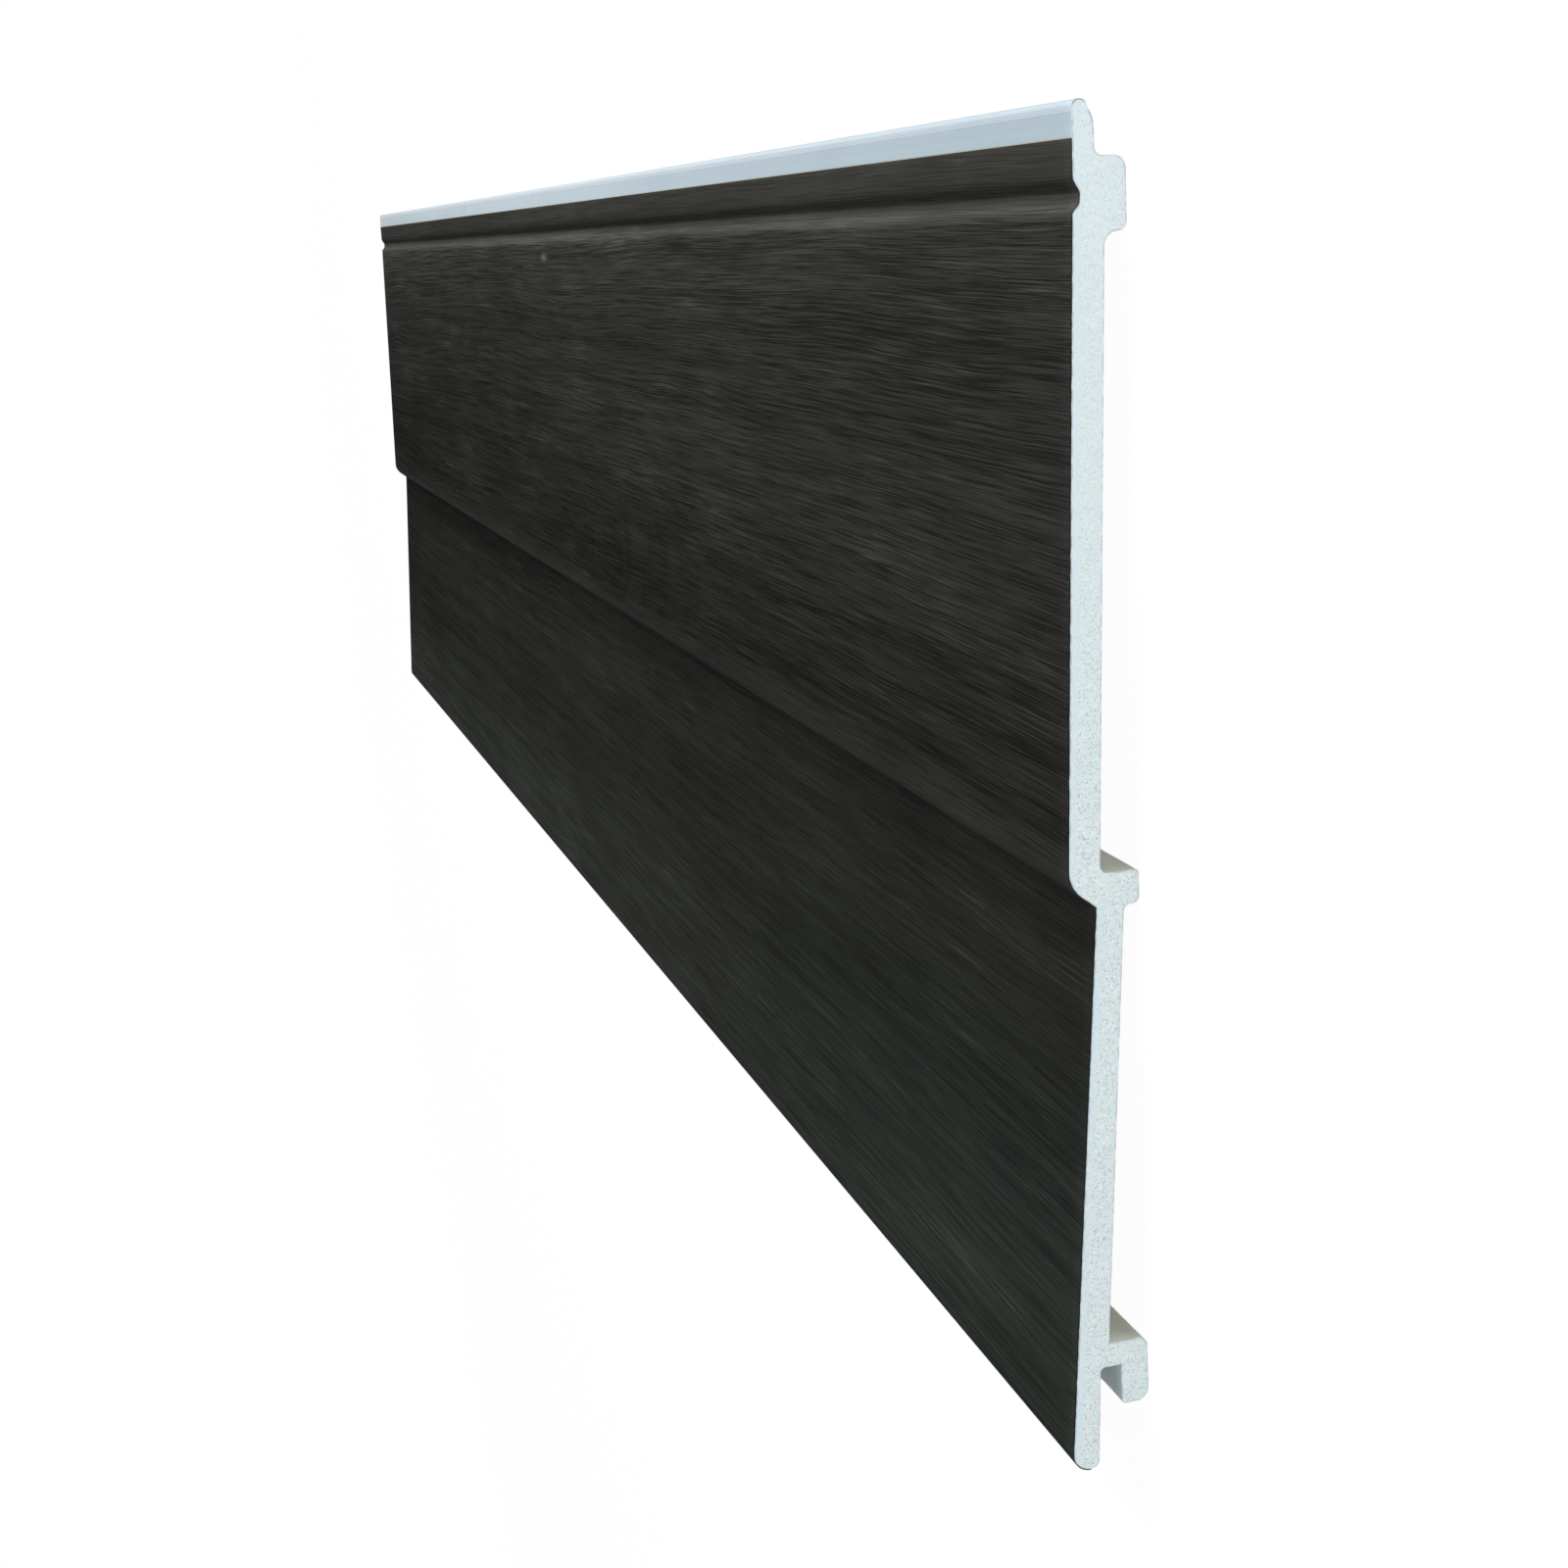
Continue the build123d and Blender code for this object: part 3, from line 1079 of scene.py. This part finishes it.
green_drift = r.times_plus(soft_noise(0.20, 0.07, 6.0), 0.030, across)
green_start = r.spread(along, -0.30, 0.45, 0.105, 0.190)
greenness = r.spread(r.minus(green_drift, green_start), -0.03, 0.04, 0.0, 0.48)
near_leaf = r.times(r.spread(across, 0.22, 0.33), r.spread(along, 0.25, 0.60))
greenness = r.times_plus(near_leaf, 0.50, greenness)
stain = r.mix(greenness, film_brown, film_green)
on_lower = r.spread(axis[1], across_place(nose + 1.0), across_place(step_root))
# Painted shade: the lower course is painted darker than the upper one.
painted_light_and_shade = r.spread(on_lower, 0.0, 1.0, 1.0, lower_course_shade)
for name, middle, above, below, near_amount, far_amount in painted_light_bands:
    amount = r.spread(along, -0.30, 0.45, far_amount, near_amount)
    painted_light_and_shade = r.times_plus(soft_band(middle, above, below), amount, painted_light_and_shade)
    print("print changed by", near_amount, "to", far_amount, "at the", name)
cloud = r.times_plus(soft_noise(0.09, 0.045, 2.0), 0.07, 1.0)
cloud = r.times_plus(soft_noise(0.45, 0.090, 12.0), 0.07, cloud)
stain = share_of(stain, r.times(painted_light_and_shade, cloud))

# %% Colour of the grain
dark_share = 0.54
light_share = 1.46
lower_calm = 0.66
stretched_calm = 0.42
fleck_colour = (0.17, 0.17, 0.16, 1.0)
knot_marks = [
    (-0.598, 0.0748, 0.024, 0.0028, 1.00),
    (-0.500, 0.0800, 0.045, 0.0022, 0.50),
    (-0.415, 0.0660, 0.045, 0.0028, 0.90),
    (-0.315, 0.0705, 0.020, 0.0036, 0.60),
    (-0.268, 0.0780, 0.018, 0.0040, 0.65),
]

grain = r.spread(tone, 0.20, 0.80, dark_share, light_share)
grain = r.times(grain, r.spread(pores, 0.0, 1.0, 1.0, 0.76))
grain = r.times_plus(pale_lines, 0.42, grain)
grain = r.times_plus(glints, 0.85, grain)
off_even = r.minus(grain, 1.0)
contrast = r.spread(on_lower, 0.0, 1.0, 1.0, lower_calm)
for middle, above, below in ((groove_bottom, 60.0, 9.0), (nose, 14.0, 8.0)):
    stretched = r.spread(soft_band(middle, above, below), 0.0, 1.0, 1.0, stretched_calm)
    contrast = r.times(contrast, stretched)
grain = r.times_plus(off_even, contrast, 1.0)
colour = share_of(stain, grain)
fleck = eye(-0.007, 0.0262, 0.0070, 0.0018)
fleck_break = r.spread(r.noise(place, 500.0, 2.0), 0.20, 0.55)
colour = r.mix(r.times(fleck, fleck_break), colour, fleck_colour)
pale_marks = 0.0
for middle_along, middle_across, length, width, amount in knot_marks:
    mark = r.times(eye(middle_along, middle_across, length, width), amount)
    pale_marks = r.math("MAXIMUM", pale_marks, mark)
pale_marks = r.times(pale_marks, r.spread(lines, 0.1, 0.9, 0.45, 1.0))
colour = r.mix(pale_marks, colour, share_of(stain, 2.0))
rim = placed(r, rim_group, Along=axis[0], Across=across, Width=0.0007)
colour = r.mix(r.times(rim, 0.55), colour, share_of(stain, 0.35))
marks = placed(r, handling_group, Vector=place, Patch_size=0.13)
colour = r.mix(r.times(marks, 0.10), colour, share_of(stain, 1.6))
r.put(shader.inputs["Base Color"], colour)
print("dark grain", dark_share, "and light grain", light_share, "of the stain")

# %% [markdown]
# The film is embossed with the same grain and has a dead matt finish. Even where it is seen at a glancing
# angle it shows no white veil, so its specular level is set to nothing and the relief is drawn by soft light.

# %% Surface of the film
roller = placed(
    r, streaks_group, Along=along, Across=across, Streak_length=0.9, Streak_width=0.011, Seed=8.0
)
rough = r.plus(r.spread(tone, 0.1, 0.9, 0.78, 0.66), r.times(marks, 0.10))
r.put(shader.inputs["Roughness"], r.plus(rough, r.times(roller, 0.05)))
shader.inputs["Specular IOR Level"].default_value = 0.0
relief = r.plus(r.times(lines, 0.5), r.times(fibres, 0.35))
relief = r.minus(relief, r.times(pores, 0.8))
bump = r.named("ShaderNodeBump", Strength=0.5, Distance=0.00010, Height=relief)
r.put(shader.inputs["Normal"], bump.outputs[0])
woodgrain_foil.data.materials.append(film)
print("made", film.name)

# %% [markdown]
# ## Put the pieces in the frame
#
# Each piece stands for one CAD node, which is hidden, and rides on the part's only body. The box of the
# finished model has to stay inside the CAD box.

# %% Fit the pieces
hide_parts("board")
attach(foamed_board, "root")
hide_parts("face_foil")
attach(woodgrain_foil, "root")
